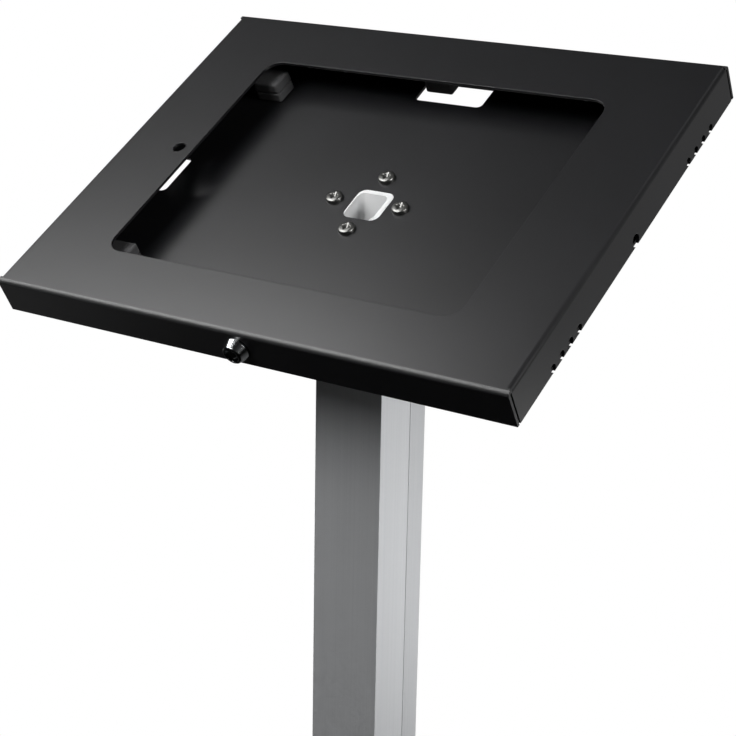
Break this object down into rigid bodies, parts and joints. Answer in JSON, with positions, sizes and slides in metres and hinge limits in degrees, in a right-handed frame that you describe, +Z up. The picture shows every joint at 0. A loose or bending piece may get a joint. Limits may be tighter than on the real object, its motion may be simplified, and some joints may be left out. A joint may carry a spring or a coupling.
{
  "type": "tablet security kiosk stand",
  "caption": "Floor stand with a square aluminium post and a sloping, lockable folded-steel tablet case whose framed cover hinges up at the back.",
  "frame": {"origin": "middle of the underside, on the floor that the rubber feet stand on, under the post's axis", "axes": "+Z up along the post, -Y towards the user at the case's low front edge, +X to the user's right"},
  "size_m": [0.34, 0.34, 1.1023],
  "materials": {
    "black_powder_steel": "fine matt black powder coat on sheet steel",
    "anodised_aluminium": "satin silver anodised extrusion with fine lengthwise drawing lines",
    "cast_aluminium": "pale silver painted casting",
    "zinc_steel": "bright zinc plate",
    "nickel_steel": "nickel-plated screw heads",
    "lock_chrome": "chrome-plated lock",
    "black_foam": "closed-cell black foam",
    "foot_rubber": "matt black rubber"
  },
  "bodies": {
    "stand": {"base_plate": "black_powder_steel", "base_feet": "foot_rubber", "base_screws": "zinc_steel", "post_channel": "anodised_aluminium", "post_cover": "anodised_aluminium", "head_block": "cast_aluminium", "cable_collar": "cast_aluminium", "head_screws": "zinc_steel", "tray": "black_powder_steel", "tray_screws": "nickel_steel", "corner_pads_lower": "black_foam", "corner_pads_upper": "black_foam", "edge_spacers": "black_foam", "hinge_tray_leaves": "zinc_steel", "hinge_tray_rivets": "zinc_steel", "hinge_pins": "zinc_steel", "lock_catch": "zinc_steel", "catch_rivets": "zinc_steel"},
    "cover": {"cover": "black_powder_steel", "hinge_cover_leaves": "zinc_steel", "hinge_cover_rivets": "zinc_steel", "lock_barrel": "lock_chrome", "lock_nut": "zinc_steel"},
    "lock": {"lock_plug": "lock_chrome", "lock_cam": "zinc_steel", "cam_screw": "zinc_steel"}
  },
  "joints": [
    {"name": "cover_swing", "type": "hinge", "parent": "stand", "child": "cover", "pos_m": [0, 0.09229, 1.08726], "axis": [-1, 0, 0], "range_deg": [0, 110]},
    {"name": "lock_turn", "type": "hinge", "parent": "cover", "child": "lock", "pos_m": [0.002, -0.11028, 0.98232], "axis": [0, 0.866, 0.5], "range_deg": [0, 90]}
  ]
}
